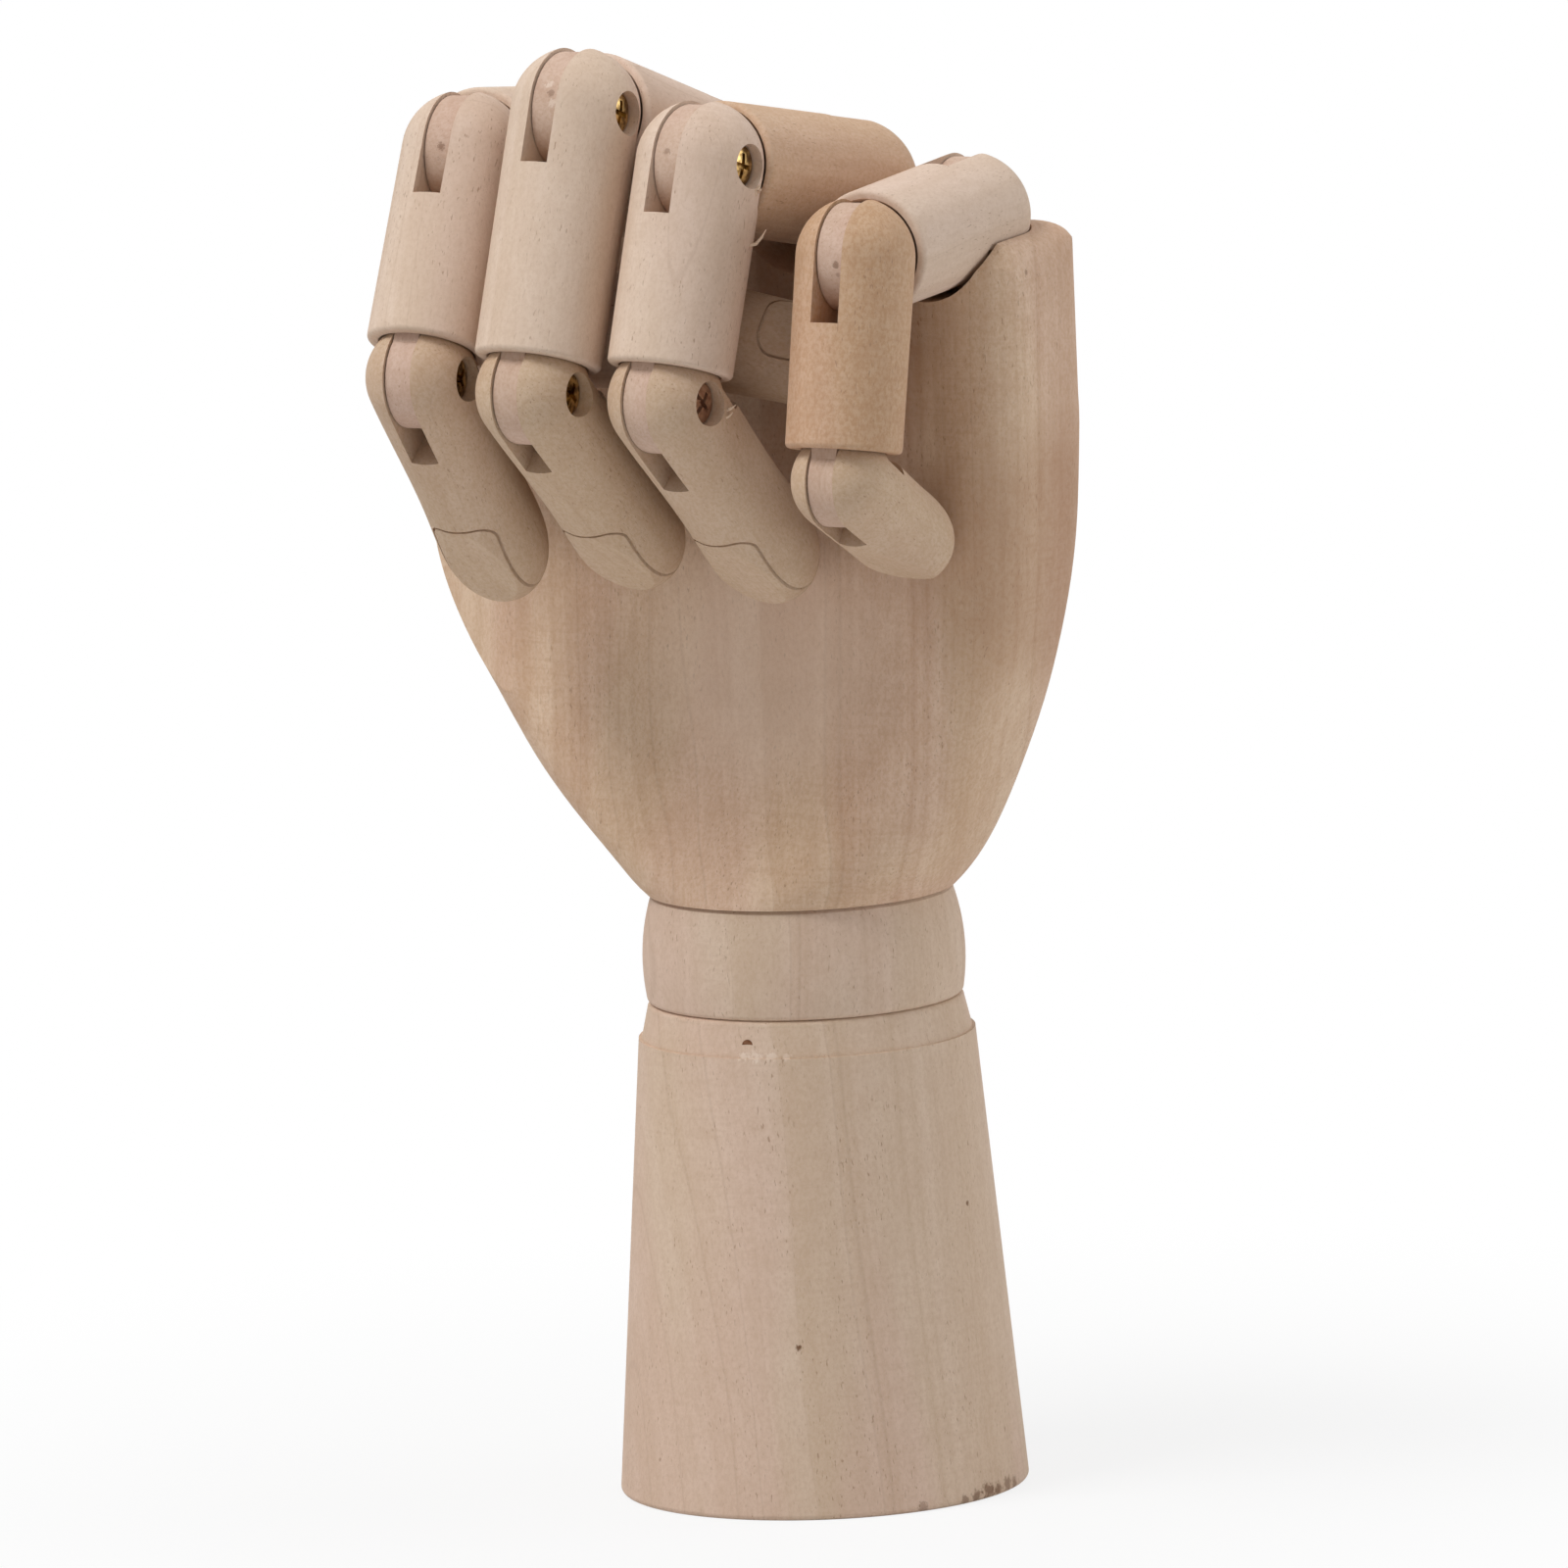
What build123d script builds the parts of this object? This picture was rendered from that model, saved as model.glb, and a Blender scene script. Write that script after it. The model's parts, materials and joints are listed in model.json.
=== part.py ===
from build123d import *
import os
from math import atan2, cos, degrees, radians, sin, sqrt

# Jointed wooden hand, left, closed to a fist, standing on its forearm.
# Origin: centre of the flat underside. +Z up, the palm faces -Y, the little finger is at +X.
# All sizes in millimetres, all angles in degrees.

os.makedirs("parts", exist_ok=True)

# Clearances
ball_gap = 0.30
rub_gap = 0.35
slot_side_gap = 0.20
pin_fit = 0.06
ball_skin = 0.03
rim_line = 0.50
over = 2.0

# Forearm, a turned cone with a shouldered collar
base_radius = 29.0
base_edge = 0.8
shoulder_radius = 23.9
shoulder_height = 65.2
collar_step = 0.45
collar_top_radius = 22.5
collar_height = 5.1
forearm_height = shoulder_height + collar_height
rim_edge = 0.9
anchor_bore_radius = 6.5
anchor_bore_depth = 14.0

# Wrist barrel and the two steel pins that hold its spring
bulge_radius = 22.9
bulge_rise = 5.5
dome_radius = 30.0
dome_centre_drop = 5.9
dome_centre_height = forearm_height - dome_centre_drop
barrel_bore_low = 6.5
barrel_bore_high = 9.0
pin_radius = 0.8
low_pin_drop = 3.3
low_pin_height = forearm_height - low_pin_drop
low_pin_turn = 9.8
low_pin_inset = 0.1
spring_wire_radius = 0.75
spring_radius = 3.6
spring_pitch = 3.1

# Palm block: a round foot that widens to a flat body
palm_foot_radius = 21.8
palm_foot_height = dome_centre_height + sqrt((dome_radius + ball_gap)**2 - palm_foot_radius**2) + rim_line
palm_rise = 71.0
palm_full_height = palm_foot_height + palm_rise
palm_thumb_reach = 57.6
palm_little_reach = 44.1
palm_half_thick = 13.5
palm_corner = 8.0
foot_corner_share = 0.99
# Steps from foot to full width: height, thumb side, little side, thickness, corner
palm_rise_shares = [
    (0.00, 0.00, 0.00, 0.00, 0.00),
    (0.06, 0.12, 0.17, 0.19, 0.22),
    (0.14, 0.28, 0.34, 0.47, 0.44),
    (0.25, 0.47, 0.52, 0.74, 0.65),
    (0.38, 0.63, 0.69, 0.89, 0.81),
    (0.52, 0.80, 0.83, 0.98, 0.91),
    (0.67, 0.94, 0.93, 1.00, 0.97),
    (0.78, 0.97, 0.97, 1.00, 0.99),
    (0.88, 0.99, 0.99, 1.00, 1.00),
    (1.00, 1.00, 1.00, 1.00, 1.00),
]
# Crown line seen from the front, as shares of the reach on its side and of the crown's rise
crown_rise = 29.5
crown_height = palm_full_height + crown_rise
crown_line_shares = [
    (-1.08, -0.15),
    (-0.955, 0.12),
    (-0.80, 0.67),
    (-0.66, 0.91),
    (-0.35, 1.0),
    (-0.09, 0.99),
    (0.27, 0.85),
    (0.69, 0.80),
    (0.885, 0.81),
    (0.95, 0.77),
    (0.985, 0.68),
    (1.005, 0.52),
    (1.03, 0.25),
]
crown_front_start = 8.0
crown_front_slope = 0.86
crown_back_start = 10.0
crown_back_slope = 0.75
crown_headroom = 40.0
# Thumb flank: where it leaves the flat front, and how far it is turned from the side
flank_start = 38.8
flank_angle = 63.0
# Bore for the spring and the pin across its end
high_pin_rise = 13.1
high_pin_height = palm_foot_height + high_pin_rise
high_pin_length = 26.0
palm_bore_radius = 6.5
palm_bore_past_pin = 4.5
palm_bore_top = high_pin_height + palm_bore_past_pin

# Fingers
rim_setback = 4.2
rim_round = 0.7
taper_share = 0.98
tongue_thick = 3.9
tongue_below_skin = 0.75
stem_share = 0.9
tenon_depth = 7.0
knuckle_reach = 95.0
middle_reach = 92.0
tip_reach = 92.0
dowel_radius = 4.2
dowel_length = 24.0

# Screws and their counterbores
bore_radius = 3.15
head_radius = 2.85
head_thick = 1.7
head_crown = 0.45
seat_depth = 3.4
shank_radius = 1.45
far_grip = 3.6
cross_width = 0.7
cross_length = 3.6
cross_depth = 0.9

# Finger tips and nails
tip_waist_share = 0.95
tip_waist_at_share = 0.58
tip_end_share = 0.73
tip_end_at_share = 0.91
nail_length = 19.0
nail_half_share = 0.66
nail_corner = 2.6
nail_drop = 1.5
scribe_width = 0.35
scribe_depth = 0.40

# Index finger: lengths and head radii from the knuckle out, rise of its knuckle over the crown,
# turn of its peg, bends, ends of the slots past the tongues
index_lengths = (35.9, 33.4, 42.3)
index_radii = (9.4, 8.8, 7.85)
index_rise = 3.5
index_turn = -4.0
index_bends = (83.0, 69.6, 64.6)
index_slots = (0.5, 0.9, 2.5)
# Middle finger
middle_lengths = (39.45, 40.2, 42.8)
middle_radii = (9.7, 9.1, 8.05)
middle_rise = 1.0
middle_turn = 0.3
middle_bends = (70.0, 89.4, 66.6)
middle_slots = (0.5, 0.9, 1.0)
# Ring finger
ring_lengths = (37.2, 33.6, 41.8)
ring_radii = (9.4, 9.0, 8.1)
ring_rise = 0.1
ring_turn = 3.8
ring_bends = (78.3, 83.3, 62.1)
ring_slots = (0.5, 0.3, 3.1)
# Little finger
little_lengths = (33.1, 31.2, 28.0)
little_radii = (8.95, 8.35, 7.1)
little_rise = -3.6
little_turn = -2.6
little_bends = (92.7, 75.2, 72.0)
little_slots = (0.5, 2.1, 0.5)

# Turn of each screw about its piece, from the knuckle out: half a turn sets it in from the thumb's side
finger_screws = (180, 0, 0)
little_screws = (180, 180, 180)

# Knuckles across the palm, from its little side: the first one's inset and the room between neighbours
little_inset = 12.45
little_room = 0.40
ring_room = 2.7
index_room = 3.2
little_across = palm_little_reach - little_inset
ring_across = little_across - little_radii[0] - little_room - ring_radii[0]
middle_across = ring_across - ring_radii[0] - ring_room - middle_radii[0]
index_across = middle_across - middle_radii[0] - index_room - index_radii[0]

# Finger: place and rise of the knuckle, turn of its peg toward the thumb, bends, lengths, radii
fingers = {
    "index": (index_across, index_rise, index_turn, index_bends, index_lengths, index_radii),
    "middle": (middle_across, middle_rise, middle_turn, middle_bends, middle_lengths, middle_radii),
    "ring": (ring_across, ring_rise, ring_turn, ring_bends, ring_lengths, ring_radii),
    "little": (little_across, little_rise, little_turn, little_bends, little_lengths, little_radii),
}
# Finger: sides of its screws, ends of its slots past the tongues, whether a nail is scribed
details = {
    "index": (finger_screws, index_slots, True),
    "middle": (finger_screws, middle_slots, True),
    "ring": (finger_screws, ring_slots, True),
    "little": (little_screws, little_slots, False),
}

# Thumb: place of its ball on the flank, lean of its peg, turn of its hinges about the peg
thumb_lengths = (25.6, 25.6, 30.0)
thumb_radii = (8.5, 8.3, 7.5)
thumb_bends = (77.2, 39.7, 16.8)
thumb_slide = 1.8
thumb_stand = 5.75
thumb_root_drop = 0.2
thumb_peg_swing = 7.5
thumb_peg_lift = 40.1
thumb_roll = -63.9
thumb_reach = 84.0
thumb_slots = (0.5, 0.5, 0.5)
thumb_screws = (0, 0, 0)
thumb_details = (thumb_screws, thumb_slots, True)


def frame_at(origin, hinge, along):
    """Local frame of a piece: x along its hinge, z along the piece."""
    return Plane(origin=origin, x_dir=hinge, z_dir=along)


def put(shape, frame):
    """Move a piece from its own frame to its place in the hand."""
    return frame.location * shape


def turned(curves):
    """Turned solid of a closed half profile."""
    return revolve(Plane.XZ * make_face(curves), Axis.Z)


def side_cylinder(radius, start, end):
    """Cylinder along the local hinge direction, from start to end."""
    return Pos((start + end) / 2, 0, 0) * Rot(0, 90, 0) * Cylinder(radius, abs(end - start))


def segment_blank(length, radius, end_radius, next_radius):
    """Turned phalanx: domed head at the origin, hollow cup at the far end."""
    end = length - rim_setback
    head = CenterArc((0, 0), radius, -90, 90)
    side = Line((radius, 0), (end_radius, end - rim_round))
    lip = CenterArc((end_radius - rim_round, end - rim_round), rim_round, 0, 90)
    top = Line((end_radius - rim_round, end), (0, end))
    core = Line((0, end), (0, -radius))
    body = turned([head, side, lip, top, core])
    return body - Pos(0, 0, length) * Sphere(next_radius + ball_gap)


def tip_blank(length, radius, inset):
    """Turned finger tip with the slanted flat of its nail, drawn in by inset."""
    r = radius - inset
    tip = length - inset
    head = CenterArc((0, 0), r, -90, 90)
    waist = (r * tip_waist_share, tip * tip_waist_at_share)
    pad = (r * tip_end_share, tip * tip_end_at_share)
    side = Spline([(r, 0), waist, pad, (0, tip)], tangents=[(0, 1), (-1, 0)])
    core = Line((0, tip), (0, -r))
    body = turned([head, side, core])
    return body - nail_flat(length, radius, inset)


def nail_flat(length, radius, inset):
    """Slab above the nail plane, which drops toward the tip."""
    root_height = radius * tip_waist_share - inset
    slope = degrees(atan2(nail_drop + radius * (tip_waist_share - tip_end_share), nail_length))
    slab = Pos(0, radius / 2, 0) * Box(2 * radius, radius, 2 * nail_length)
    slab = Pos(0, 0, nail_length) * slab
    return Pos(0, root_height, length - nail_length) * Rot(slope, 0, 0) * slab


def nail_line(length, radius):
    """Scribed outline of the nail, as a thin wall cut down into the skin."""
    half = radius * nail_half_share
    outer = RectangleRounded(2 * half, 2 * nail_length, nail_corner)
    inner = RectangleRounded(2 * (half - scribe_width), 2 * (nail_length - scribe_width),
                             nail_corner - scribe_width)
    ring = Plane.XZ * (Pos(0, length) * (outer - inner))
    return extrude(ring, amount=-radius)


def joint_cuts(radius, previous_end, reach, flat_notch, past_tongue, screw_side):
    """Slot for the tongue, notch for the rim of the piece before, and the screw hole."""
    tongue = radius - tongue_below_skin
    floor = tongue + past_tongue
    slot_width = tongue_thick + 2 * slot_side_gap
    slot_height = floor + radius + over
    slot = Pos(0, 0, floor - slot_height / 2) * Box(slot_width, 2 * (radius + over), slot_height)
    depth = rim_setback - rub_gap
    run = radius + over
    if flat_notch:
        tool = Box(2 * run, 2 * (previous_end + rub_gap), run)
    else:
        tool = Cylinder(previous_end + rub_gap, run)
    notch = Rot(-reach, 0, 0) * Pos(0, 0, -depth - run / 2) * tool
    notch = notch - Sphere(radius + ball_skin)
    seat = radius - seat_depth
    bore = Rot(0, 0, screw_side) * side_cylinder(bore_radius, seat, radius + over)
    shank = side_cylinder(shank_radius, -tongue_thick / 2 - slot_side_gap - far_grip, seat)
    return slot, notch, bore, Rot(0, 0, screw_side) * shank


def phalanx(length, radius, previous_end, next_radius, reach, flat_notch, past_tongue, screw_side, tongue):
    """One of the two inner pieces of a finger, without the tongue set in its far end."""
    body = segment_blank(length, radius, radius * taper_share, next_radius)
    for cut in joint_cuts(radius, previous_end, reach, flat_notch, past_tongue, screw_side):
        body = body - cut
    return body - tongue


def finger_tip(length, radius, previous_end, reach, past_tongue, screw_side, nail):
    """The last piece of a finger, with its scribed nail."""
    body = tip_blank(length, radius, 0)
    if nail:
        body = body - (nail_line(length, radius) - tip_blank(length, radius, scribe_depth))
    for cut in joint_cuts(radius, previous_end, reach, False, past_tongue, screw_side):
        body = body - cut
    return body


def tongue_at(length, next_radius):
    """Flat tongue: round end at the far pivot, stem let into the piece's end."""
    disc_radius = next_radius - tongue_below_skin
    stem_half = disc_radius * stem_share
    stem_length = next_radius + ball_gap + tenon_depth
    stem = Pos(0, 0, length - stem_length / 2) * Box(tongue_thick, 2 * stem_half, stem_length)
    disc = Pos(0, 0, length) * side_cylinder(disc_radius, -tongue_thick / 2, tongue_thick / 2)
    pivot = Pos(0, 0, length) * side_cylinder(shank_radius + pin_fit, -tongue_thick, tongue_thick)
    return stem + disc - pivot


def dowel_at(radius, grow):
    """Round dowel of a peg, from the cup of its ball down into the palm."""
    dowel = Pos(0, 0, -dowel_length / 2) * Cylinder(dowel_radius + grow, dowel_length)
    return dowel - Sphere(radius + ball_gap)


def peg_at(radius):
    """Palm peg: tongue on a round dowel, its pivot at the origin."""
    disc_radius = radius - tongue_below_skin
    stem_half = disc_radius * stem_share
    cup = radius + ball_gap
    stem = Pos(0, 0, -cup / 2) * Box(tongue_thick, 2 * stem_half, cup)
    stem = stem & Sphere(cup)
    neck = Pos(0, 0, -cup / 2 - tongue_thick / 2) * Box(tongue_thick, 2 * dowel_radius, cup + tongue_thick)
    neck = neck & Pos(0, 0, -dowel_length / 2) * Cylinder(dowel_radius, dowel_length)
    disc = side_cylinder(disc_radius, -tongue_thick / 2, tongue_thick / 2)
    pivot = side_cylinder(shank_radius + pin_fit, -tongue_thick, tongue_thick)
    return stem + disc + neck + dowel_at(radius, 0) - pivot


def screw_at(radius, screw_side):
    """Cross-recessed screw along the hinge, its head sunk in the cheek."""
    seat = radius - seat_depth
    start = -tongue_thick / 2 - slot_side_gap - far_grip
    shank = side_cylinder(shank_radius, start, seat)
    crown = (head_radius * head_radius + head_crown * head_crown) / (2 * head_crown)
    head = side_cylinder(head_radius, seat, seat + head_thick)
    head = head & Pos(seat + head_thick - crown, 0, 0) * Sphere(crown)
    arm = Pos(seat + head_thick, 0, 0) * Box(2 * cross_depth, cross_width, cross_length)
    cross = arm + Rot(90, 0, 0) * arm
    return Rot(0, 0, screw_side) * (shank + head - cross)


def swung(hinge, start, bend):
    """Direction reached when start is bent about the hinge."""
    return Vector(*start).rotate(Axis((0, 0, 0), hinge), bend)


def chain(origin, hinge, start, bends, lengths):
    """Frames of the three pieces of a finger."""
    frames = []
    point = Vector(*origin)
    along = Vector(*start)
    for bend, length in zip(bends, lengths):
        along = swung(hinge, along, bend)
        frames.append(frame_at(point, hinge, along))
        point = point + along * length
    return frames


def build_digit(name, origin, hinge, start, bends, lengths, radii, detail):
    """Pieces of one finger or the thumb, placed in the hand."""
    first, second, third = radii
    sides, slots, nail = detail
    frames = chain(origin, hinge, start, bends, lengths)
    peg_frame = frame_at(origin, hinge, start)
    pieces = {}
    near_tongue = tongue_at(lengths[0], second)
    far_tongue = tongue_at(lengths[1], third)
    near = phalanx(lengths[0], first, first, second, knuckle_reach, True, slots[0], sides[0], near_tongue)
    near_end = first * taper_share
    far = phalanx(lengths[1], second, near_end, third, middle_reach, False, slots[1], sides[1], far_tongue)
    tip = finger_tip(lengths[2], third, second * taper_share, tip_reach, slots[2], sides[2], nail)
    pieces[name + "_peg"] = put(peg_at(first), peg_frame)
    pieces[name + "_proximal"] = put(near, frames[0])
    pieces[name + "_proximal_tongue"] = put(near_tongue, frames[0])
    pieces[name + "_middle"] = put(far, frames[1])
    pieces[name + "_middle_tongue"] = put(far_tongue, frames[1])
    pieces[name + "_tip"] = put(tip, frames[2])
    pieces[name + "_knuckle_screw"] = put(screw_at(first, sides[0]), frames[0])
    pieces[name + "_middle_screw"] = put(screw_at(second, sides[1]), frames[1])
    pieces[name + "_tip_screw"] = put(screw_at(third, sides[2]), frames[2])
    return pieces


def forearm():
    """Turned forearm with its shoulder, collar and blind bore."""
    collar_low = shoulder_radius - collar_step
    low = CenterArc((base_radius - base_edge, base_edge), base_edge, -90, 90)
    cone = Line((base_radius, base_edge), (shoulder_radius, shoulder_height))
    step = Line((shoulder_radius, shoulder_height), (collar_low, shoulder_height))
    collar = Line((collar_low, shoulder_height), (collar_top_radius, forearm_height - rim_edge))
    lip = CenterArc((collar_top_radius - rim_edge, forearm_height - rim_edge), rim_edge, 0, 90)
    top = Line((collar_top_radius - rim_edge, forearm_height), (0, forearm_height))
    core = Line((0, forearm_height), (0, 0))
    foot = Line((0, 0), (base_radius - base_edge, 0))
    body = turned([low, cone, step, collar, lip, top, core, foot])
    bore = Pos(0, 0, forearm_height - anchor_bore_depth / 2) * Cylinder(anchor_bore_radius, anchor_bore_depth)
    return body - bore - low_pin()


def low_pin():
    """Steel pin across the collar, front to back, its ends flush with the wood."""
    grow = (forearm_height - low_pin_height) / (forearm_height - shoulder_height)
    reach = collar_top_radius + grow * (shoulder_radius - collar_step - collar_top_radius) - low_pin_inset
    return Pos(0, 0, low_pin_height) * Rot(0, 0, low_pin_turn) * Rot(90, 0, 0) * Cylinder(pin_radius, 2 * reach)


def wrist_barrel():
    """Turned barrel: bulged side, domed top, flared bore for the spring."""
    low_radius = collar_top_radius
    corner_radius = palm_foot_radius - rub_gap
    corner_height = dome_centre_height + sqrt(dome_radius**2 - corner_radius**2)
    foot = Line((0, forearm_height), (low_radius - rim_edge, forearm_height))
    lip = CenterArc((low_radius - rim_edge, forearm_height + rim_edge), rim_edge, -90, 90)
    bulge = (bulge_radius, forearm_height + bulge_rise)
    side = ThreePointArc((low_radius, forearm_height + rim_edge), bulge,
                         (corner_radius, corner_height))
    crown_top = dome_centre_height + dome_radius
    turn = degrees(atan2(corner_height - dome_centre_height, corner_radius))
    crown = CenterArc((0, dome_centre_height), dome_radius, turn, 90 - turn)
    core = Line((0, crown_top), (0, forearm_height))
    body = turned([foot, lip, side, crown, core])
    height = crown_top - forearm_height + over
    bore = Pos(0, 0, forearm_height + height / 2) * Cone(barrel_bore_low, barrel_bore_high, height)
    return body - bore


def between(low, high, share):
    """Value at a share of the way from low to high."""
    return low + share * (high - low)


def palm_section(rise, thumb, little, thick, corner):
    """Outline of the palm block at one step of its rise."""
    left = between(palm_foot_radius, palm_thumb_reach, thumb)
    right = between(palm_foot_radius, palm_little_reach, little)
    half = between(palm_foot_radius, palm_half_thick, thick)
    corner_radius = between(palm_foot_radius * foot_corner_share, palm_corner, corner)
    outline = RectangleRounded(left + right, 2 * half, corner_radius)
    return Pos((right - left) / 2, 0, palm_foot_height + rise * palm_rise) * outline


def palm_block():
    """Carved palm: round wrist end, flat body, thumb flank, sloped crown."""
    sections = [palm_section(*shares) for shares in palm_rise_shares]
    body = loft(sections) + extrude(sections[-1], amount=crown_rise + over)
    body = body - crown_cut() - flank_cut()
    body = body - Pos(0, 0, dome_centre_height) * Sphere(dome_radius + ball_gap)
    bore = Cylinder(palm_bore_radius, palm_bore_top - dome_centre_height)
    bore = Pos(0, 0, (dome_centre_height + palm_bore_top) / 2) * bore
    return body - bore - high_pin()


def flank_cut():
    """Everything in front of the slanted thumb flank."""
    size = palm_thumb_reach
    block = Pos(0, -size / 2, 0) * Box(4 * size, size, 4 * size)
    edge = Pos(-flank_start, -palm_half_thick, crown_height)
    return edge * Rot(0, 0, flank_angle - 90) * block


def crown_point(across, up):
    """Point of the crown line from its shares."""
    reach = palm_thumb_reach if across < 0 else palm_little_reach
    return (across * reach, palm_full_height + up * crown_rise)


def crown_cut():
    """Everything above the crown line, sloping down at the front and the back."""
    points = [crown_point(*shares) for shares in crown_line_shares]
    high = crown_height + crown_headroom
    line = Spline(points)
    rest = Polyline([points[-1], (points[-1][0], high), (points[0][0], high), points[0]])
    face = Plane.XZ * make_face([line, rest])
    middle = extrude(Pos(0, crown_back_start, 0) * face, amount=crown_front_start + crown_back_start)
    run = palm_half_thick
    front = extrude(Pos(0, -crown_front_start, 0) * face, amount=run, dir=(0, -1, -crown_front_slope))
    back = extrude(Pos(0, crown_back_start, 0) * face, amount=run, dir=(0, 1, -crown_back_slope))
    return middle + front + back


def trough(radius, root, hinge, start, reach):
    """Hollow that lets a bent finger lie down on the palm."""
    run = 2 * radius + palm_half_thick
    hollow = Pos(0, 0, run / 2) * Cylinder(radius + rub_gap, run)
    return put(hollow, frame_at(root, hinge, swung(hinge, start, reach)))


def high_pin():
    """Steel pin inside the palm, across the upper end of the spring."""
    return Pos(0, 0, high_pin_height) * Rot(0, 90, 0) * Cylinder(pin_radius, high_pin_length)


def wrist_spring():
    """Close coil between the two pins."""
    low = low_pin_height + pin_radius + spring_wire_radius
    high = high_pin_height - pin_radius - spring_wire_radius
    path = Helix(spring_pitch, high - low, spring_radius)
    section = Plane(origin=path @ 0, z_dir=path % 0) * Circle(spring_wire_radius)
    return Pos(0, 0, low) * sweep(section, path=path, is_frenet=True)


def finger_hinge(turn):
    """Hinge direction of a finger whose peg is turned toward the thumb."""
    return (cos(radians(turn)), -sin(radians(turn)), 0)


def thumb_directions():
    """Root point, hinge and peg direction of the thumb, from its place on the flank."""
    lean = radians(90 - flank_angle)
    outward = Vector(-sin(lean), -cos(lean), 0)
    along = Vector(-cos(lean), sin(lean), 0)
    edge = Vector(-flank_start, -palm_half_thick, palm_full_height - thumb_root_drop)
    root = edge + along * thumb_slide + outward * thumb_stand
    level = outward * cos(radians(thumb_peg_swing)) + along * sin(radians(thumb_peg_swing))
    start = level * cos(radians(thumb_peg_lift)) + Vector(0, 0, 1) * sin(radians(thumb_peg_lift))
    hinge = start.cross(Vector(0, 0, 1)).normalized()
    hinge = hinge.rotate(Axis((0, 0, 0), start), thumb_roll)
    return tuple(root), tuple(hinge), tuple(start)


nodes = {
    "forearm": forearm(),
    "forearm_pin": low_pin(),
    "wrist_barrel": wrist_barrel(),
    "wrist_spring": wrist_spring(),
    "palm_pin": high_pin(),
}

palm = palm_block()
for name, (across, rise, turn, bends, lengths, radii) in fingers.items():
    root = (across, 0, crown_height + rise)
    hinge = finger_hinge(turn)
    up = (0, 0, 1)
    nodes.update(build_digit(name, root, hinge, up, bends, lengths, radii, details[name]))
    palm = palm - Pos(*root) * Sphere(radii[0] + ball_gap)
    palm = palm - trough(radii[0], root, hinge, up, knuckle_reach)
    palm = palm - put(dowel_at(radii[0], 0), frame_at(root, hinge, up))

root, hinge, start = thumb_directions()
nodes.update(build_digit("thumb", root, hinge, start, thumb_bends, thumb_lengths, thumb_radii, thumb_details))
palm = palm - Pos(*root) * Sphere(thumb_radii[0] + ball_gap)
palm = palm - trough(thumb_radii[0], root, hinge, start, thumb_reach)
palm = palm - put(dowel_at(thumb_radii[0], pin_fit), frame_at(root, hinge, start))
nodes["palm"] = palm

for name, solid in nodes.items():
    export_step(solid, "parts/" + name + ".step")
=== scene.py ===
import json
import math
import random

import bpy
from mathutils import Matrix, Vector


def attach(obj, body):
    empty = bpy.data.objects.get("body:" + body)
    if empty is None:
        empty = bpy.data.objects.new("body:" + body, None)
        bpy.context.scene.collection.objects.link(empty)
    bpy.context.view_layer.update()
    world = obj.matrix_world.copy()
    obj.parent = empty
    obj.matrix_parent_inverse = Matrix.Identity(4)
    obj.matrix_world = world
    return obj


# Looks of the jointed wooden hand: pale unfinished hardwood, brass screws, brown steel pins and spring.
# Metres, +Z up, the palm faces -Y, the little finger is at +X.

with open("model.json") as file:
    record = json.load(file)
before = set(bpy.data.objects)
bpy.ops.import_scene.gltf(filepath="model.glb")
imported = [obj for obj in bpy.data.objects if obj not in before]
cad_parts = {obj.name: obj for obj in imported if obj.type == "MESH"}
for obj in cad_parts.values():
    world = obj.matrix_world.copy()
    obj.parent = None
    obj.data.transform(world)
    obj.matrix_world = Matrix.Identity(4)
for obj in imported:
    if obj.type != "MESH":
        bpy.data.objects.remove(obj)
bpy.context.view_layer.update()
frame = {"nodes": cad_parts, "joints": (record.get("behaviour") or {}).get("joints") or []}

MM = 0.001
IN_MM = (1000.0, 1000.0, 1000.0)
DIGITS = ("index", "middle", "ring", "little", "thumb")

# Camera of the photograph: angles in degrees, distances in metres, lens and sensor in millimetres
VIEW_AZIMUTH = 31.5
VIEW_ELEVATION = 8.866
VIEW_ROLL = -2.317
VIEW_DISTANCE = 3.0
VIEW_LENS = 486.7
SENSOR = 36.0
CLIP_END = 100.0
AIM_HEIGHT = 0.10068
AIM_SIDE = -0.00186

# Softboxes: name, place to the right of the aim, above it and towards the camera, side length, watts
LAMPS = (
    ("key", (-1.25, 1.9, 0.9), 1.0, 37.5),
    ("top", (0.5, 1.9, 0.3), 1.2, 4.5),
    ("side", (2.0, 0.4, -0.1), 1.2, 10.5),
)

# Strength of the surround above and below the horizon
WORLD_HIGH = 0.44
WORLD_LOW = 0.28

# Floor: half its width, its own tone, and how it turns to plain white away from the hand
FLOOR_HALF = 12.0
FLOOR_TONE = 0.74
FLOOR_ROUGHNESS = 0.9
FLOOR_WHITE = 0.82
FADE_START = 0.04
FADE_END = 0.22

# Wood tones, as written in the picture's own colour values: light, dark, pink drift, yellow drift
TURNED = ((220, 196, 178), (200, 172, 148), (220, 188, 170), (216, 194, 166))
CARVED = ((224, 197, 172), (192, 155, 125), (220, 184, 162), (222, 195, 162))
FINGER = ((224, 202, 186), (204, 178, 156), (222, 194, 178), (220, 198, 174))
AMBER = ((206, 170, 140), (180, 140, 107), (204, 164, 134), (200, 166, 127))
HONEY = ((214, 182, 154), (192, 156, 127), (213, 177, 150), (210, 178, 144))
TONGUE = ((208, 180, 162), (190, 157, 136), (206, 173, 157), (203, 177, 154))
TIP = ((206, 180, 154), (188, 157, 128), (204, 174, 150), (202, 177, 147))
TORN = ((232, 210, 186), (214, 186, 158), (228, 202, 180), (226, 204, 176))

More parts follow.
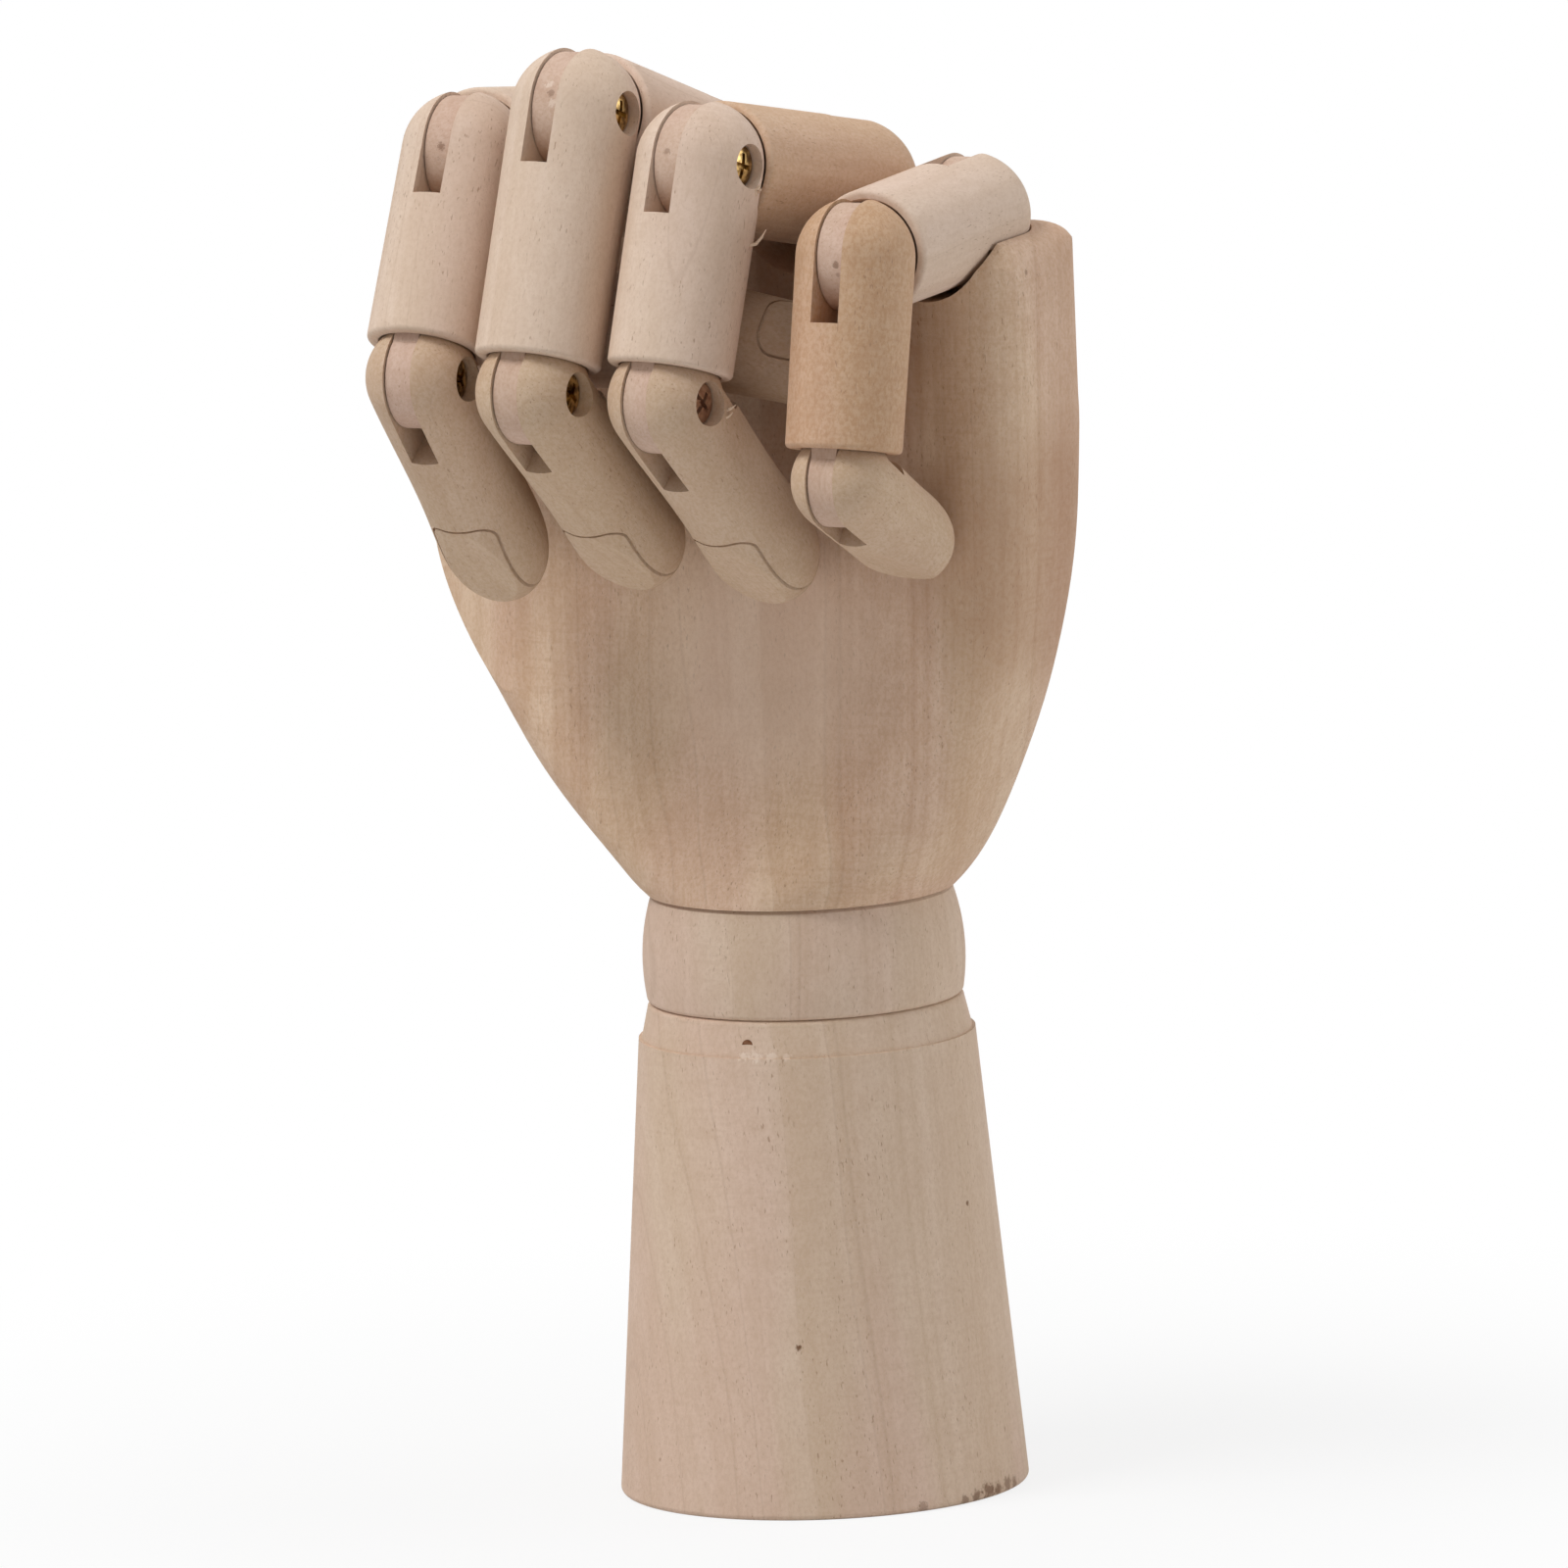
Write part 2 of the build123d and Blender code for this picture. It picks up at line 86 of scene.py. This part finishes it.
# Single tones: pores, stains, rubbed spots, painted light for the palm's middle, and painted shade for the palm's right
# side, partly browner wood there, and for the recess behind the fingers
PORE = (150, 114, 88)
STAIN = (112, 76, 50)
BLOOM = (232, 214, 198)
# painted light: pale tint that lightens the palm's middle
PAINTED_LIGHT = (242, 216, 194)
# painted shade: warm brown that darkens the palm's right side and the recess behind the fingers
PAINTED_SHADE_BROWN = (168, 126, 96)

# Metals: bright tone, dull tone, roughness
BRASS = ((216, 184, 122), (118, 92, 52), 0.24)
DUSTY = ((176, 142, 116), (150, 112, 88), 0.6)
STEEL = ((150, 112, 88), (112, 76, 56), 0.55)
METAL_SPOTS = (900.0, 900.0, 900.0)
METAL_GRIT = (4200.0, 4200.0, 4200.0)

# Wood patterns: changes per millimetre, twice across the grain and once along it
SWAY = (0.06, 0.06, 0.011)
HUE = (0.055, 0.055, 0.012)
CLOUD = (0.11, 0.11, 0.05)
FIBRE = (2.6, 2.6, 0.22)
VESSEL = (3.6, 3.6, 1.0)
FUZZ = (1.9, 1.9, 1.35)
MOTTLE = (0.42, 0.42, 0.24)
RIPPLE = (0.16, 0.16, 1.5)
PATCH = (0.05, 0.05, 0.03)
SPARSE = (0.19, 0.19, 0.06)

# Growth rings: how they lean and wander, and their changes per millimetre
RING_LEAN = 0.22
RING_WANDER = 7.0
WIDE_RINGS = 0.16
NARROW_RINGS = 0.75
THIN_RINGS = 0.11
LINE_WIDTH = 0.006
SEED_SHIFT = (17.3, -9.1, 31.7)

# How much each pattern of the wood shows
WIDE_SHARE = 0.75
NARROW_SHARE = 0.45
CLOUD_SHARE = 0.35
TONE_SPREAD = 0.20
DRIFT_SHARE = 0.38
LINE_SHARE = 0.22
FUZZ_DARK = 0.34
FUZZ_PALE = 0.16
MOTTLE_SHARE = 0.22
FIBRE_SHARE = 0.14
RIPPLE_SHARE = 0.20
PORE_LEAST = 0.16
PORE_MORE = 0.40

# Blocks with one grain: node, material, grain direction, seed, tones, strength of the rings
BLOCKS = (
    ("palm", "palm_wood", (0.04, 0.0, 1.0), 0.5, CARVED, 0.9),
    ("forearm", "forearm_wood", (-0.065, 0.0, 1.0), 0.2, TURNED, 0.8),
    ("wrist_barrel", "barrel_wood", (0.0, 0.02, 1.0), 0.8, TURNED, 0.8),
)

# Strength of the rings on the finger pieces, and on the tips, tongues and pegs
FINGER_RINGS = 0.8
SMALL_RINGS = 0.7

# Splinters: body, bent line in millimetres, radii along it
SPLINTERS = (
    ("ring_middle", ((18.5, -37.7, 183.0), (19.57, -37.14, 183.26), (20.21, -36.59, 184.12), (20.68, -36.11, 185.18)),
     (0.45, 0.42, 0.30, 0.06)),
    ("ring_middle", ((18.8, -36.8, 190.5), (19.5, -36.1, 190.8), (19.7, -35.5, 191.4)), (0.32, 0.30, 0.08)),
    ("ring_middle", ((18.8, -35.2, 190.1), (19.5, -35.4, 190.6), (19.6, -35.9, 191.2)), (0.36, 0.30, 0.08)),
    ("ring_middle", ((18.6, -36.0, 189.5), (19.3, -36.1, 190.0), (19.45, -36.3, 190.7)), (0.30, 0.26, 0.08)),
    ("ring_tip", ((17.5, -43.8, 160.6), (18.3, -43.4, 161.0), (18.9, -43.0, 161.5)), (0.48, 0.36, 0.07)),
    ("ring_tip", ((17.5, -44.3, 159.6), (18.3, -43.9, 160.0), (18.7, -43.6, 160.5)), (0.42, 0.30, 0.07)),
)
SLIVER_SIDES = 5
SLIVER_FLATNESS = 0.6

# Fuzz that the saw has left where the collar meets the shoulder: millimetres and degrees
COLLAR_RADIUS = 23.5
SHOULDER_HEIGHT = 65.2
COLLAR_FUZZ = 11
COLLAR_FUZZ_START = -82.0
COLLAR_FUZZ_STEP = 2.9
COLLAR_FUZZ_RADII = (0.16, 0.13, 0.04)
COLLAR_FUZZ_SEED = 7

# Marks of use and of the workshop on single pieces, and on the palm broad patches of painted light and painted shade:
# place and radius in millimetres, strength, tone
MARKS = {
    "forearm": [
        ((11.52, -24.54, 24.55), 0.45, 0.9, STAIN),
        ((25.73, -0.61, 41.86), 0.35, 0.8, STAIN),
        ((3.4, -22.9, 65.3), 0.8, 0.75, BLOOM),
        ((5.2, -22.6, 65.3), 0.9, 0.75, BLOOM),
        ((7.4, -21.9, 65.3), 0.8, 0.6, BLOOM),
        ((9.6, -21.2, 65.3), 0.6, 0.5, BLOOM),
        ((27.9, -7.9, 0.6), 0.8, 0.6, STAIN),
        ((28.5, -5.6, 0.9), 0.9, 0.7, STAIN),
        ((28.8, -3.0, 1.2), 1.2, 0.75, STAIN),
        ((28.9, -0.6, 1.0), 1.0, 0.75, STAIN),
        ((28.8, 2.2, 1.3), 1.1, 0.6, STAIN),
        ((28.6, 4.6, 0.9), 0.9, 0.6, STAIN),
        ((25.0, -14.6, 0.7), 0.8, 0.45, STAIN),
    ],
    "palm": [
        # painted light on the palm's middle, where the fingers shade it
        ((4.0, -14.5, 122.0), 20.0, 0.34, PAINTED_LIGHT),
        # painted shade of the fingers on the palm's right side, partly browner wood there
        ((39.0, 0.0, 136.0), 19.0, 0.42, PAINTED_SHADE_BROWN),
        # painted shade in the recess behind the fingers
        ((20.0, -13.5, 165.0), 15.0, 0.42, PAINTED_SHADE_BROWN),
        ((41.6, -1.2, 178.0), 0.5, 0.5, STAIN),
        ((42.8, -2.8, 177.0), 0.45, 0.6, STAIN),
        ((43.9, -4.8, 175.8), 0.4, 0.5, STAIN),
    ],
    "middle_proximal_tongue": [
        ((-8.3, -44.6, 204.5), 0.55, 0.5, STAIN),
        ((-8.9, -44.2, 205.8), 0.7, 0.45, BLOOM),
        ((-7.8, -44.9, 203.2), 0.6, 0.5, BLOOM),
    ],
    "ring_proximal_tongue": [((9.9, -44.1, 196.8), 0.5, 0.45, STAIN)],
    "little_proximal_tongue": [
        ((34.5, -40.6, 181.3), 0.5, 0.6, STAIN),
        ((34.7, -40.5, 179.9), 0.35, 0.4, STAIN),
    ],
    "index_proximal_tongue": [
        ((-27.6, -43.3, 196.2), 0.6, 0.6, STAIN),
        ((-27.8, -42.8, 194.6), 0.7, 0.4, STAIN),
    ],
    "ring_middle": [
        ((19.1, -34.8, 191.7), 0.8, 0.7, BLOOM),
        ((19.3, -34.2, 190.6), 0.7, 0.6, BLOOM),
    ],
}

# Edge of a mark: where it starts and ends to fade, in radii, and how ragged it is, in radii and at most in millimetres
MARK_FULL = 0.55
MARK_GONE = 1.25
MARK_RAGGED = 3.0
MARK_RAGGED_MOST = 4.0


def linear(rgb):
    """Scene colour of a picture colour from 0 to 255."""
    out = []
    for value in rgb:
        c = value / 255.0
        out.append(c / 12.92 if c <= 0.04045 else ((c + 0.055) / 1.055) ** 2.4)
    return (*out, 1.0)


class Graph:
    """Short calls for building the nodes of a material or a world."""

    def __init__(self, owner):
        owner.use_nodes = True
        self.owner = owner
        self.tree = owner.node_tree
        self.tree.nodes.clear()

    def node(self, kind, **settings):
        made = self.tree.nodes.new(kind)
        for key, value in settings.items():
            setattr(made, key, value)
        return made

    def link(self, source, target):
        self.tree.links.new(source, target)

    def feed(self, socket, value):
        """Give an input a plain value, or another node's output."""
        if isinstance(value, (int, float, tuple)):
            socket.default_value = value
        else:
            self.link(value, socket)

    def math(self, operation, a, b=None):
        made = self.node("ShaderNodeMath", operation=operation)
        self.feed(made.inputs[0], a)
        if b is not None:
            self.feed(made.inputs[1], b)
        return made.outputs[0]

    def place(self):
        """Position in the object's own frame, in metres."""
        return self.node("ShaderNodeTexCoord").outputs["Object"]

    def noise(self, vector, detail, roughness=0.5):
        made = self.node("ShaderNodeTexNoise")
        made.inputs["Scale"].default_value = 1.0
        made.inputs["Detail"].default_value = detail
        made.inputs["Roughness"].default_value = roughness
        self.link(vector, made.inputs["Vector"])
        return made.outputs["Fac"]

    def layers(self, value, scale, detail):
        """Noise that changes along one direction only."""
        made = self.node("ShaderNodeTexNoise", noise_dimensions="1D")
        made.inputs["Scale"].default_value = scale
        made.inputs["Detail"].default_value = detail
        self.link(value, made.inputs["W"])
        return made.outputs["Fac"]

    def scaled(self, vector, scale):
        made = self.node("ShaderNodeVectorMath", operation="MULTIPLY")
        self.link(vector, made.inputs[0])
        made.inputs[1].default_value = scale
        return made.outputs[0]

    def ramp(self, value, low, high):
        """Smooth step from nought at low to one at high."""
        made = self.node("ShaderNodeMapRange", interpolation_type="SMOOTHSTEP")
        self.link(value, made.inputs["Value"])
        made.inputs["From Min"].default_value = low
        made.inputs["From Max"].default_value = high
        return made.outputs["Result"]

    def mix(self, factor, a, b):
        made = self.node("ShaderNodeMix", data_type="RGBA")
        for socket, value in ((made.inputs[0], factor), (made.inputs[6], a), (made.inputs[7], b)):
            self.feed(socket, value)
        return made.outputs[2]

    def tint(self, colour, mask, share, tone):
        """Mix a tone into a colour, by a share of a mask."""
        return self.mix(self.math("MULTIPLY", mask, share), colour, linear(tone))

    def bump(self, height, strength, distance):
        made = self.node("ShaderNodeBump")
        made.inputs["Strength"].default_value = strength
        made.inputs["Distance"].default_value = distance
        self.link(height, made.inputs["Height"])
        return made.outputs["Normal"]

    def not_camera(self):
        """One for rays that light the scene, nought for seen, mirrored and refracted ones."""
        path = self.node("ShaderNodeLightPath")
        seen = self.math("MAXIMUM", path.outputs["Is Camera Ray"], path.outputs["Is Transmission Ray"])
        return self.math("SUBTRACT", 1.0, self.math("MAXIMUM", seen, path.outputs["Is Glossy Ray"]))

    def finish(self, shader, kind="ShaderNodeOutputMaterial"):
        """Link the shader to the output, and return the material or world."""
        out = self.node(kind)
        self.link(shader, out.inputs["Surface"])
        return self.owner


def wood(name, along, seed, tones, rings, marks=()):
    """Fine-pored pale hardwood, flat sawn, whose grain runs along a direction.

    marks are stains, pits, rubbed spots, and broad patches of painted light and painted shade: place and radius in
    millimetres, strength, tone.
    """
    light, dark, pink, yellow = tones
    g = Graph(bpy.data.materials.new(name))
    place = g.place()
    turn = Vector(along).rotation_difference(Vector((0, 0, 1))).to_euler()
    mapping = g.node("ShaderNodeMapping")
    turn.rotate(Matrix.Rotation(-math.radians(VIEW_AZIMUTH), 3, "Z"))
    mapping.inputs["Rotation"].default_value = turn
    mapping.inputs["Scale"].default_value = IN_MM
    mapping.inputs["Location"].default_value = tuple(shift * seed for shift in SEED_SHIFT)
    g.link(place, mapping.inputs["Vector"])
    grain = mapping.outputs["Vector"]

    # Growth rings as near flat layers side by side: wide and narrow bands, and a few thin dark lines
    axes = g.node("ShaderNodeSeparateXYZ")
    g.link(grain, axes.inputs[0])
    sway = g.noise(g.scaled(grain, SWAY), 1.0)
    layer = g.math("ADD", axes.outputs[0], g.math("MULTIPLY", axes.outputs[1], RING_LEAN))
    layer = g.math("ADD", layer, g.math("MULTIPLY", sway, RING_WANDER))
    wide = g.layers(layer, WIDE_RINGS, 1.0)
    narrow = g.layers(layer, NARROW_RINGS, 2.0)
    thin = g.layers(layer, THIN_RINGS, 0.0)
    off_line = g.math("ABSOLUTE", g.math("SUBTRACT", thin, 0.5))
    line = g.math("SUBTRACT", 1.0, g.ramp(off_line, 0.0, LINE_WIDTH))
    hue = g.noise(g.scaled(grain, HUE), 1.0)
    cloud = g.noise(g.scaled(grain, CLOUD), 2.0)

    # Fibres, short vessels, the fuzz of a sanded face and faint ripples across the grain
    fibre = g.noise(g.scaled(grain, FIBRE), 2.0, 0.6)
    pore = g.ramp(g.noise(g.scaled(grain, VESSEL), 1.0), 0.64, 0.76)
    fuzz = g.noise(g.scaled(grain, FUZZ), 3.0, 0.72)
    mottle = g.noise(g.scaled(grain, MOTTLE), 2.0)
    ripple = g.noise(g.scaled(grain, RIPPLE), 1.0)
    patch = g.ramp(g.noise(g.scaled(grain, PATCH), 0.0), 0.45, 0.6)
    sparse = g.ramp(g.noise(g.scaled(grain, SPARSE), 1.0), 0.42, 0.62)

    tone = g.math("ADD", g.math("MULTIPLY", wide, WIDE_SHARE * rings), g.math("MULTIPLY", narrow, NARROW_SHARE * rings))
    tone = g.math("ADD", tone, g.math("MULTIPLY", cloud, CLOUD_SHARE))
    middle = (WIDE_SHARE + NARROW_SHARE) / 2 * rings + CLOUD_SHARE / 2
    tone = g.ramp(tone, middle - TONE_SPREAD, middle + TONE_SPREAD)
    colour = g.mix(tone, linear(light), linear(dark))
    drift = g.mix(g.ramp(hue, 0.40, 0.60), linear(pink), linear(yellow))
    colour = g.mix(DRIFT_SHARE, colour, drift)
    colour = g.tint(colour, line, LINE_SHARE * rings, PORE)
    colour = g.tint(colour, g.ramp(fuzz, 0.36, 0.70), FUZZ_DARK, dark)
    colour = g.tint(colour, g.ramp(fuzz, 0.62, 0.40), FUZZ_PALE, BLOOM)
    colour = g.tint(colour, g.ramp(mottle, 0.40, 0.66), MOTTLE_SHARE, dark)
    colour = g.tint(colour, fibre, FIBRE_SHARE, dark)
    colour = g.tint(colour, g.math("MULTIPLY", patch, g.ramp(ripple, 0.5, 0.66)), RIPPLE_SHARE, dark)
    depth = g.math("ADD", PORE_LEAST, g.math("MULTIPLY", sparse, PORE_MORE))
    colour = g.tint(colour, pore, depth, PORE)
    # Marks tint the colour: stains and rubbed spots, and on the palm broad patches of painted light and painted shade
    for centre, size, strength, mark_tone in marks:
        offset = g.node("ShaderNodeVectorMath", operation="DISTANCE")
        g.link(g.scaled(place, IN_MM), offset.inputs[0])
        offset.inputs[1].default_value = centre
        uneven = g.math("MULTIPLY", g.math("SUBTRACT", fuzz, 0.5), min(MARK_RAGGED * size, MARK_RAGGED_MOST))
        ragged = g.math("ADD", offset.outputs["Value"], uneven)
        spot = g.math("SUBTRACT", 1.0, g.ramp(ragged, MARK_FULL * size, MARK_GONE * size))
        colour = g.tint(colour, spot, strength, mark_tone)

    height = g.math("SUBTRACT", g.math("MULTIPLY", fuzz, 0.9), g.math("MULTIPLY", pore, 0.5))
    shader = g.node("ShaderNodeBsdfPrincipled")
    shader.inputs["Specular IOR Level"].default_value = 0.22
    g.link(colour, shader.inputs["Base Color"])
    g.link(g.math("ADD", 0.66, g.math("MULTIPLY", fibre, 0.14)), shader.inputs["Roughness"])
    g.link(g.bump(height, 0.38, 0.00014), shader.inputs["Normal"])
    return g.finish(shader.outputs[0])


def metal(name, bright, dull, roughness):
    """Worn metal, brighter on its rubbed spots."""
    g = Graph(bpy.data.materials.new(name))
    place = g.place()
    spots = g.noise(g.scaled(place, METAL_SPOTS), 3.0)
    grit = g.noise(g.scaled(place, METAL_GRIT), 2.0)
    shader = g.node("ShaderNodeBsdfPrincipled")
    shader.inputs["Metallic"].default_value = 1.0
    g.link(g.mix(g.ramp(spots, 0.35, 0.65), linear(bright), linear(dull)), shader.inputs["Base Color"])
    g.link(g.math("ADD", roughness, g.math("MULTIPLY", grit, 0.2)), shader.inputs["Roughness"])
    g.link(g.bump(grit, 0.25, 0.00005), shader.inputs["Normal"])
    return g.finish(shader.outputs[0])


def assign(node, material):
    """Give a CAD node its one material."""
    mesh = frame["nodes"][node].data
    mesh.materials.clear()
    mesh.materials.append(material)


def joint(name):
    """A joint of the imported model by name."""
    return next(j for j in frame["joints"] if j["name"] == name)


def pivot(name):
    """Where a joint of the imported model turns, in metres."""
    return Vector(joint(name)["pos_m"])


def farthest(node, start):
    """Direction from a point to the farthest vertex of a node."""
    points = [v.co for v in frame["nodes"][node].data.vertices]
    return (max(points, key=lambda p: (p - start).length) - start).normalized()


def dress_digit(name, order):
    """Wood of one finger, with the grain along each piece."""
    first = pivot(name + "_knuckle")
    second = pivot(name + "_middle_joint")
    third = pivot(name + "_tip_joint")
    near = (second - first).normalized()
    far = (third - second).normalized()
    end = farthest(name + "_tip", third)
    peg = joint("thumb_swivel")["axis"] if name == "thumb" else (0, 0, 1)
    inner = HONEY if name == "ring" else FINGER
    outer = AMBER if name == "little" else FINGER
    pieces = (
        ("_proximal", "_near_wood", near, 0.0, inner, FINGER_RINGS),
        ("_middle", "_far_wood", far, 0.37, outer, FINGER_RINGS),
        ("_tip", "_tip_wood", end, 0.71, TIP, SMALL_RINGS),
        ("_peg", "_peg_wood", peg, 0.13, TONGUE, SMALL_RINGS),
        ("_proximal_tongue", "_near_tongue", near, 0.53, TONGUE, SMALL_RINGS),
        ("_middle_tongue", "_far_tongue", far, 0.83, TONGUE, SMALL_RINGS),
    )
    for piece, title, along, shift, tones, rings in pieces:
        marks = MARKS.get(name + piece, ())
        assign(name + piece, wood(name + title, along, 1.0 + order + shift, tones, rings, marks))


def dress():
    """Materials of every CAD node."""
    for node, title, along, seed, tones, rings in BLOCKS:
        assign(node, wood(title, along, seed, tones, rings, MARKS.get(node, ())))
    for order, name in enumerate(DIGITS):
        dress_digit(name, order)
    brass = metal("screw_brass", *BRASS)
    dusty = metal("screw_dust", *DUSTY)
    steel = metal("pin_steel", *STEEL)
    for node in frame["nodes"]:
        if node.endswith("_screw"):
            assign(node, dusty if node == "ring_tip_screw" else brass)
    for node in ("forearm_pin", "palm_pin", "wrist_spring"):
        assign(node, steel)


def sliver(name, body, points, radii, material):
    """Torn wood fibre: a thin tube along a short bent line, drawn to a point."""
    sides = SLIVER_SIDES
    places = [Vector(p) * MM for p in points]
    verts = []
    faces = []
    for i, (place, radius) in enumerate(zip(places, radii)):
        ahead = places[min(i + 1, len(places) - 1)] - places[max(i - 1, 0)]
        turn = ahead.to_track_quat("Z", "Y")
        for k in range(sides):
            a = math.tau * k / sides
            verts.append(place + turn @ Vector((math.cos(a), SLIVER_FLATNESS * math.sin(a), 0)) * radius * MM)
        if i:
            for k in range(sides):
                low = (i - 1) * sides
                faces.append((low + k, low + (k + 1) % sides, low + sides + (k + 1) % sides, low + sides + k))
    faces.append(tuple(reversed(range(sides))))
    faces.append(tuple(range(len(verts) - sides, len(verts))))
    mesh = bpy.data.meshes.new(name)
    mesh.from_pydata(verts, [], faces)
    mesh.materials.append(material)
    made = bpy.data.objects.new(name, mesh)
    bpy.context.collection.objects.link(made)
    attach(made, body)


def torn_spots():
    """Splinters and fuzz that the tools have left."""
    torn = wood("torn_wood", (0.0, 0.0, 1.0), 3.3, TORN, 0.5)
    for order, (body, points, radii) in enumerate(SPLINTERS):
        sliver("splinter_%d" % order, body, points, radii, torn)
    chance = random.Random(COLLAR_FUZZ_SEED)
    for order in range(COLLAR_FUZZ):
        a = math.radians(COLLAR_FUZZ_START + COLLAR_FUZZ_STEP * order + chance.uniform(-1.0, 1.0))
        out = Vector((math.cos(a), math.sin(a), 0))
        along = Vector((-math.sin(a), math.cos(a), 0)) * chance.uniform(-0.7, 0.7)
        root = out * COLLAR_RADIUS + Vector((0, 0, SHOULDER_HEIGHT - 0.1))
        rise = Vector((0, 0, chance.uniform(0.15, 0.45)))
        points = (root, root + rise * 0.6 + along * 0.5 + out * 0.15, root + rise + along + out * 0.22)
        sliver("collar_fuzz_%d" % order, "forearm", points, COLLAR_FUZZ_RADII, torn)


def camera():
    """The photograph's view. Returns the directions to its right, its top and back to the camera."""
    a = math.radians(VIEW_AZIMUTH)
    e = math.radians(VIEW_ELEVATION)
    r = math.radians(VIEW_ROLL)
    back = Vector((math.sin(a) * math.cos(e), -math.cos(a) * math.cos(e), math.sin(e)))
    level = Vector((math.cos(a), math.sin(a), 0))
    up = level.cross(-back)
    right = level * math.cos(r) + up * math.sin(r)
    top = up * math.cos(r) - level * math.sin(r)
    place = Vector((0, 0, AIM_HEIGHT)) + level * AIM_SIDE + back * VIEW_DISTANCE
    data = bpy.data.cameras.new("camera")
    data.lens = VIEW_LENS
    data.sensor_width = SENSOR
    data.sensor_fit = "HORIZONTAL"
    data.clip_end = CLIP_END
    made = bpy.data.objects.new("camera", data)
    bpy.context.collection.objects.link(made)
    turn = Matrix((right, top, back)).transposed().to_4x4()
    made.matrix_world = Matrix.Translation(place) @ turn
    bpy.context.scene.camera = made
    return right, top, back


def area_light(name, place, size, watts):
    """Square softbox aimed at the middle of the hand."""
    data = bpy.data.lights.new(name, "AREA")
    data.size = size
    data.energy = watts
    made = bpy.data.objects.new(name, data)
    bpy.context.collection.objects.link(made)
    aim = Vector((0, 0, AIM_HEIGHT)) - place
    made.location = place
    made.rotation_euler = aim.to_track_quat("-Z", "Y").to_euler()


def world_light():
    """Soft white surround, brighter above, plain white where it is seen directly or in a reflection."""
    g = Graph(bpy.data.worlds.new("world"))
    way = g.node("ShaderNodeSeparateXYZ")
    g.link(g.node("ShaderNodeTexCoord").outputs["Generated"], way.inputs[0])
    height = g.node("ShaderNodeMapRange")
    g.link(way.outputs[2], height.inputs["Value"])
    height.inputs["To Min"].default_value = WORLD_LOW
    height.inputs["To Max"].default_value = WORLD_HIGH
    level = g.node("ShaderNodeMix", data_type="FLOAT")
    g.link(g.not_camera(), level.inputs[0])
    level.inputs[2].default_value = 1.0
    g.link(height.outputs[0], level.inputs[3])
    shine = g.node("ShaderNodeBackground")
    shine.inputs["Color"].default_value = (1.0, 1.0, 1.0, 1.0)
    g.link(level.outputs[0], shine.inputs["Strength"])
    bpy.context.scene.world = g.finish(shine.outputs[0], "ShaderNodeOutputWorld")


def floor():
    """Pale floor that keeps the soft shadow and fades to white farther out."""
    mesh = bpy.data.meshes.new("floor")
    half = FLOOR_HALF
    mesh.from_pydata([(-half, -half, 0), (half, -half, 0), (half, half, 0), (-half, half, 0)], [], [(0, 1, 2, 3)])
    made = bpy.data.objects.new("floor", mesh)
    bpy.context.collection.objects.link(made)
    g = Graph(bpy.data.materials.new("floor_white"))
    far = g.node("ShaderNodeVectorMath", operation="LENGTH")
    g.link(g.place(), far.inputs[0])
    fade = g.ramp(far.outputs["Value"], FADE_START, FADE_END)
    seen = g.math("SUBTRACT", 1.0, g.not_camera())
    amount = g.math("MULTIPLY", seen, g.math("ADD", FLOOR_WHITE, g.math("MULTIPLY", fade, 1.0 - FLOOR_WHITE)))
    plain = g.node("ShaderNodeBsdfPrincipled")
    plain.inputs["Base Color"].default_value = (FLOOR_TONE, FLOOR_TONE, FLOOR_TONE, 1.0)
    plain.inputs["Roughness"].default_value = FLOOR_ROUGHNESS
    blend = g.node("ShaderNodeMixShader")
    g.link(amount, blend.inputs[0])
    g.link(plain.outputs[0], blend.inputs[1])
    g.link(g.node("ShaderNodeEmission").outputs[0], blend.inputs[2])
    mesh.materials.append(g.finish(blend.outputs[0]))


def light(right, top, back):
    """Key from the upper left, soft lights from the top and the right, and an even surround."""
    for name, (across, above, toward), size, watts in LAMPS:
        place = Vector((0, 0, AIM_HEIGHT)) + right * across + top * above + back * toward
        area_light(name, place, size, watts)
    world_light()


bpy.context.scene.view_settings.view_transform = "Standard"
dress()
torn_spots()
light(*camera())
floor()
